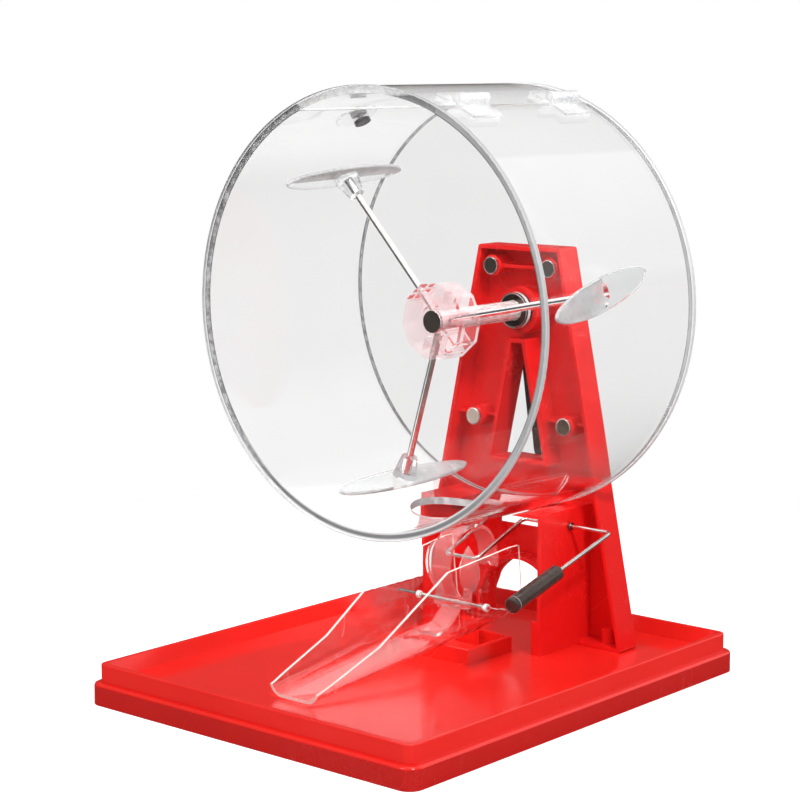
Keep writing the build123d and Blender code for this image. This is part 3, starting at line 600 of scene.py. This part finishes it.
def draw_ends_in(bm):
    """Leaves a hair's breadth between the drum's wall and its discs."""
    for vert in bm.verts:
        if vert.co.y < WALL_FRONT_Y + END_BAND:
            vert.co.y += GLUE_GAP
        elif vert.co.y > WALL_BACK_Y - END_BAND:
            vert.co.y -= GLUE_GAP


def make_drum():
    dress("drum_front_disc", [disc_acrylic, front_rim], on_flat)
    dress("drum_back_disc", [disc_acrylic, back_rim], on_flat)
    dress("drum_tube", [tube_acrylic, tube_edge, glued_end], on_wall, change=draw_ends_in)
    dress("drum_door", [tube_acrylic, tube_edge, tube_edge], on_wall)
    for end in ("front", "back"):
        for kind in ("fixed", "leaf"):
            dress(f"door_hinge_{kind}_{end}", [hinge_clear, pale_edge], on_bar_end)
        dress(f"door_hinge_pin_{end}", [hinge_clear, pale_edge], on_bar_end)
    dress("door_latch_disc", [hinge_clear, pale_edge], ease=0.0002, ease_slot=1)
    dress("door_latch_screw", [crank_black])


def spoke_direction(angle, lean):
    a, b = radians(angle), radians(lean)
    return Vector((cos(a) * cos(b), sin(b), sin(a) * cos(b)))


def make_paddle(i, dim_side, lengthwise=False):
    """Leaf with a bright rim; one half carries a painted shade, across its length or along it."""
    out = spoke_direction(*SPOKES[i])
    parting = Vector((0, 1, 0)).cross(out).normalized() if lengthwise else Vector((0, 1, 0))
    hub = Vector((0, HUB_MID, SHAFT_Z))
    reach = max((vert.co - hub).dot(out) for vert in NODES[f"paddle_{i + 1}"].data.vertices)
    middle = hub + out * reach

    def cut(bm):
        everything = bm.verts[:] + bm.edges[:] + bm.faces[:]
        bmesh.ops.bisect_plane(bm, geom=everything, plane_co=middle, plane_no=parting, dist=1e-6)

    def pick(normal, centre):
        on_leaf = reach - (centre - hub).dot(out) < LEAF_DEPTH
        if on_leaf and abs(normal.dot(out)) < 0.93:
            return 1
        return 2 if on_leaf and (centre - middle).dot(parting) * dim_side > 0 else 0

    dress(f"paddle_{i + 1}", [paddle_clear, paddle_edge, paddle_painted_shade], pick, change=cut)


def on_shaft(normal, centre):
    """Shaft: dark front face, a painted shade; bright rim round its front end, a painted highlight; drawn
    steel behind.
    """
    if normal.y < -0.9:
        return 1 if centre.y < 0.03 else 0
    return 2 if centre.y < 0.0146 else 0


def make_agitator():
    dress("paddle_hub", [hub_clear, pink_edge_painted_reflection], ease=0.00045, ease_slot=1)
    for i, (side, lengthwise) in enumerate(((1, True), (1, False), (-1, False))):
        make_paddle(i, side, lengthwise)
        dress(f"paddle_rod_{i + 1}", [rod_steel])
    dress("drive_shaft", [shaft_steel, dark_steel_and_shade, bright_steel_and_highlight], on_shaft)


def make_crank():
    dress("crank_arm", [crank_black], ease=0.0007)
    dress("crank_knob", [crank_black])
    dress("crank_nut", [bright_steel_and_highlight])
    dress("crank_pin", [bright_steel_and_highlight])


def make_caps():
    # the caps' face colours are painted reflection: dark above, beige lower left, brown lower right
    faces = {"upper_left": dark_steel_and_shade, "upper_right": dark_steel_and_shade,
             "lower_left": cap_beige_painted_reflection, "lower_right": cap_brown_painted_reflection}
    for place_name, face in faces.items():
        low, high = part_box(f"drum_mount_{place_name}")
        x, z = (low.x + high.x) / 2, (low.z + high.z) / 2
        r, length = (high.x - low.x) / 2, high.y - low.y
        rows = [(0.0002, 0.0003, 0), (r - 0.0011, 0.0003, 0), (r - 0.0009, 0.0001, 1),
                (r - 0.0004, 0.00002, 1), (r - 0.0001, 0.0002, 1), (r, 0.0006, 1), (r, length, 1),
                (0.001, length, 1)]
        # the bright rim and sides of each cap are a painted highlight
        lathe(f"drum_mount_{place_name}", rows, (x, low.y, z), (0, 1, 0), [face, bright_steel_and_highlight])
    # the bush's bright eased edges are a painted highlight
    dress("shaft_bush", [bush_dark, bright_steel_and_highlight], ease=0.0003, ease_slot=1)


def make_lever():
    dress("lever_wire", [wire_steel])
    # the ferrule's bright eased edges are a painted highlight
    dress("lever_ferrule", [dark_steel_and_shade, bright_steel_and_highlight], ease=0.0002, ease_slot=1)
    # grip: a sleeve with a plug and a thin pale ring at its free end; the pale ring is a painted highlight
    along = Vector((0, cos(LEVER_DROP), sin(LEVER_DROP)))
    r, length = GRIP_R, GRIP_LENGTH
    rows = [(0.0002, 0.0004, 0), (0.0030, 0.0004, 0), (0.0033, 0.0001, 0), (r - 0.0009, 0.0001, 0),
            (r - 0.0002, 0.0007, 0), (r, 0.0016, 0), (r, 0.0044, 1), (r - 0.0002, 0.0046, 1), (r, 0.0048, 0),
            (r, length - 0.0012, 0), (r - 0.0003, length - 0.0004, 0), (r - 0.0010, length, 0),
            (0.0021, length, 0), (0.0018, length - 0.0008, 0), (0.0016, length - 0.0040, 0)]
    lathe("lever_grip", rows, LEVER_AXLE - along * GRIP_END, along, [grip_black, grip_ring_painted_highlight])


def edge_height(y):
    for (y0, z0), (y1, z1) in zip(CHUTE_EDGE, CHUTE_EDGE[1:]):
        if y0 <= y <= y1:
            return z0 + (z1 - z0) * (y - y0) / (y1 - y0)
    return 1.0


def on_chute(normal, centre):
    top = abs(normal.x) < 0.2 and centre.z > edge_height(centre.y) - 0.0004
    return 1 if top or abs(normal.y) > 0.9 else 0


def make_ball_path():
    dress("ball_chute", [chute_clear, chute_edge], on_chute)
    dress("ball_gate", [gate_clear, pink_edge_painted_reflection], ease=0.0004, ease_slot=1)
    dress("gate_pin", [wire_steel])
    for side in ("left", "right"):
        dress(f"gate_collar_{side}", [collar_nylon], ease=0.0004)


def make_screws():
    for i in range(4):
        low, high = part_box(f"stand_screw_{i + 1}")
        x, y = (low.x + high.x) / 2, (low.y + high.y) / 2
        rows = [(0.0002, 0.0014, 1), (0.0016, 0.0014, 1), (0.0019, 0.0002, 0), (0.0027, 0.0001, 0),
                (0.0036, 0.0006, 0), (0.0040, 0.0013, 0), (0.0040, 0.0025, 0), (0.0020, 0.0025, 0),
                (0.0020, high.z - low.z - 0.0006, 0), (0.0014, high.z - low.z, 0)]
        # the screws' hex sockets take the dark steel: painted shade in the recess
        lathe(f"stand_screw_{i + 1}", rows, (x, y, low.z), (0, 0, 1), [bright_steel_and_highlight, dark_steel_and_shade], hexed=(1, 2))


def on_tray(normal, centre):
    """Tray: the skirt's upright faces take the darker red, a painted shade."""
    return 1 if abs(normal.z) < 0.3 and centre.z < SKIRT_TOP else 0


def make_base():
    dress("base_tray", [tray_red, tray_skirt_painted_shade], on_tray, ease=0.0005)
    dress("stand_frame", [stand_red], ease=0.0005)


make_base()
make_drum()
make_agitator()
make_crank()
make_caps()
make_lever()
make_ball_path()
make_screws()


# The parts' own meshes keep a finish too, for any view that shows them.
FINISH = {
    "base_tray": tray_red, "stand_frame": stand_red, "drum_front_disc": disc_acrylic,
    "drum_back_disc": disc_acrylic, "drum_tube": tube_acrylic, "drum_door": tube_acrylic,
    "ball_chute": chute_clear, "ball_gate": gate_clear, "paddle_hub": hub_clear, "crank_arm": crank_black,
    "crank_knob": crank_black, "door_latch_screw": crank_black, "lever_grip": grip_black,
    "drive_shaft": shaft_steel, "gate_collar_left": collar_nylon, "gate_collar_right": collar_nylon,
    "lever_wire": wire_steel, "gate_pin": wire_steel,
}
GROUPED = (("paddle_rod", rod_steel), ("paddle", paddle_clear), ("door_", hinge_clear), ("", dark_steel_and_shade))
for node_name, node in NODES.items():
    finish = FINISH.get(node_name) or next(m for start, m in GROUPED if node_name.startswith(start))
    node.data.materials.clear()
    node.data.materials.append(finish)


# ---------------------------------------------------------------- studio
FLOOR_R = 0.75
FLOOR_DROP = 0.0002
LINE_OF_SIGHT = (-0.652, 0.758, 0.0)
DARK_END = (-0.645, -0.750, -0.150)
OVERHEAD_GLOW = (1.4, 1.4, 1.4)
PANEL_GLOW = (1.3, 1.3, 1.3)
FILL_GREY = (0.50, 0.50, 0.50)
CAMERA_AT = (0.9537, -1.1293, 0.4294)
CAMERA_DIP = 8.811
CAMERA_TURN = 40.732
LENS = 99.2


def make_floor():
    """Round pale floor that keeps the object's soft shadow and fades out at its edge."""
    mesh = bpy.data.meshes.new("studio_floor")
    bm = bmesh.new()
    bmesh.ops.create_circle(bm, cap_ends=True, segments=96, radius=FLOOR_R)
    bmesh.ops.translate(bm, verts=bm.verts, vec=(0, 0, -FLOOR_DROP))
    bm.to_mesh(mesh)
    bm.free()
    floor = bpy.data.objects.new("studio_floor", mesh)
    bpy.context.collection.objects.link(floor)
    material, tree, shader = new_material("studio_floor")
    shader.inputs["Roughness"].default_value = 0.9
    shader.inputs["Specular IOR Level"].default_value = 0.1
    path = tree.nodes.new("ShaderNodeLightPath")
    # white to the eye, and through clear pieces on the left behind the tray; dim in mirrors
    behind = ramp(tree, split(tree, place(tree))["X"], 0.0, -0.12)
    through = math_node(tree, "MULTIPLY", path.outputs["Is Transmission Ray"], behind)
    dim = math_node(tree, "SUBTRACT", path.outputs["Is Glossy Ray"], through, True)
    pale = mix_colour(tree, dim, (0.86, 0.86, 0.86), (0.12, 0.11, 0.10))
    link(tree, pale, shader.inputs["Base Color"])
    seen = math_node(tree, "MAXIMUM", path.outputs["Is Camera Ray"], through)
    lit = mix_colour(tree, seen, (0, 0, 0), (0.62, 0.62, 0.62))
    link(tree, lit, shader.inputs["Emission Color"])
    shader.inputs["Emission Strength"].default_value = 1.0
    length = tree.nodes.new("ShaderNodeVectorMath")
    length.operation = "LENGTH"
    link(tree, place(tree), length.inputs[0])
    clear = ramp(tree, length.outputs["Value"], 0.42, 0.70)
    see = tree.nodes.new("ShaderNodeBsdfTransparent")
    both = tree.nodes.new("ShaderNodeMixShader")
    link(tree, clear, both.inputs["Fac"])
    link(tree, shader.outputs["BSDF"], both.inputs[1])
    link(tree, see.outputs["BSDF"], both.inputs[2])
    link(tree, both.outputs["Shader"], tree.nodes["Material Output"].inputs["Surface"])
    mesh.materials.append(material)


def make_world():
    """White behind the object; a dim studio with soft bright bands for whatever mirrors it."""
    world = bpy.data.worlds.new("studio")
    bpy.context.scene.world = world
    world.use_nodes = True
    tree = world.node_tree
    background = tree.nodes["Background"]
    coord = tree.nodes.new("ShaderNodeTexCoord")
    where = split(tree, coord.outputs["Generated"])
    path = tree.nodes.new("ShaderNodeLightPath")
    # through clear walls: white behind the object, dimmer round the room, brighter overhead,
    # dark at the room's far end
    behind = tree.nodes.new("ShaderNodeVectorMath")
    behind.operation = "DOT_PRODUCT"
    link(tree, coord.outputs["Generated"], behind.inputs[0])
    behind.inputs[1].default_value = LINE_OF_SIGHT
    away = math_node(tree, "ABSOLUTE", behind.outputs["Value"])
    through = mix_colour(tree, ramp(tree, away, 0.25, 0.60), (0.20, 0.20, 0.20), (1.0, 1.0, 1.0))
    through = mix_colour(tree, ramp(tree, where["Z"], 0.30, 0.55), through, OVERHEAD_GLOW)
    towards = tree.nodes.new("ShaderNodeVectorMath")
    towards.operation = "DOT_PRODUCT"
    link(tree, coord.outputs["Generated"], towards.inputs[0])
    towards.inputs[1].default_value = DARK_END
    dark_end = ramp(tree, towards.outputs["Value"], 0.82, 0.94)
    through = mix_colour(tree, dark_end, through, (0.06, 0.06, 0.06))
    # mirrored: dim and slightly warm, with a band across the front of the room, a paler ceiling
    # and a bright panel at the back
    slant = math_node(tree, "ADD", where["Z"], math_node(tree, "MULTIPLY", where["X"], 0.55))
    band = ramp(tree, math_node(tree, "ABSOLUTE", math_node(tree, "ADD", slant, 0.56)), 0.02, 0.10, 1.0, 0.0)
    front = ramp(tree, where["Y"], -0.5, -0.6)
    glow = math_node(tree, "MULTIPLY", band, front)
    mirrored = mix_colour(tree, glow, (0.115, 0.100, 0.092), (0.75, 0.75, 0.75))
    mirrored = mix_colour(tree, ramp(tree, where["Z"], 0.45, 0.9), mirrored, (0.55, 0.54, 0.53))
    right = ramp(tree, where["X"], 0.03, 0.06)
    above = ramp(tree, where["Z"], 0.08, 0.16)
    rear = ramp(tree, where["Y"], 0.50, 0.62)
    panel = math_node(tree, "MULTIPLY", math_node(tree, "MULTIPLY", right, above), rear)
    mirrored = mix_colour(tree, panel, mirrored, PANEL_GLOW)
    glossy, straight = path.outputs["Is Glossy Ray"], path.outputs["Is Transmission Ray"]
    lit = mix_colour(tree, math_node(tree, "SUBTRACT", glossy, straight, True), through, mirrored)
    lit = mix_colour(tree, path.outputs["Is Diffuse Ray"], lit, FILL_GREY)
    lit = mix_colour(tree, path.outputs["Is Camera Ray"], lit, (1.0, 1.0, 1.0))
    link(tree, lit, background.inputs["Color"])


def add_lamp(name, place_at, aim, size, power, size_y=None):
    lamp = bpy.data.lights.new(name, "AREA")
    lamp.shape = "RECTANGLE"
    lamp.size = size
    lamp.size_y = size_y or size
    lamp.energy = power
    holder = bpy.data.objects.new(name, lamp)
    holder.location = place_at
    direction = Vector(aim) - Vector(place_at)
    holder.rotation_euler = direction.to_track_quat("-Z", "Y").to_euler()
    bpy.context.collection.objects.link(holder)


def make_camera():
    data = bpy.data.cameras.new("photo_camera")
    data.sensor_width = 36.0
    data.lens = LENS
    data.clip_start = 0.05
    camera = bpy.data.objects.new("photo_camera", data)
    camera.location = CAMERA_AT
    camera.rotation_euler = (radians(90 - CAMERA_DIP), 0, radians(CAMERA_TURN))
    bpy.context.collection.objects.link(camera)
    bpy.context.scene.camera = camera


make_floor()
make_world()
make_camera()
add_lamp("key_softbox", (-0.5, -1.5, 1.5), (0, 0, 0.15), 0.7, 9.5, 0.7)
add_lamp("side_softbox", (1.36, -0.54, 1.46), (0, 0, 0.1), 0.2, 18.0, 0.2)
add_lamp("top_softbox", (0.1, 0.1, 1.9), (0, 0, 0), 0.9, 5.0, 0.9)
scene = bpy.context.scene
scene.view_settings.view_transform = "Standard"
scene.cycles.max_bounces = 20
scene.cycles.transmission_bounces = 20
scene.cycles.transparent_max_bounces = 20
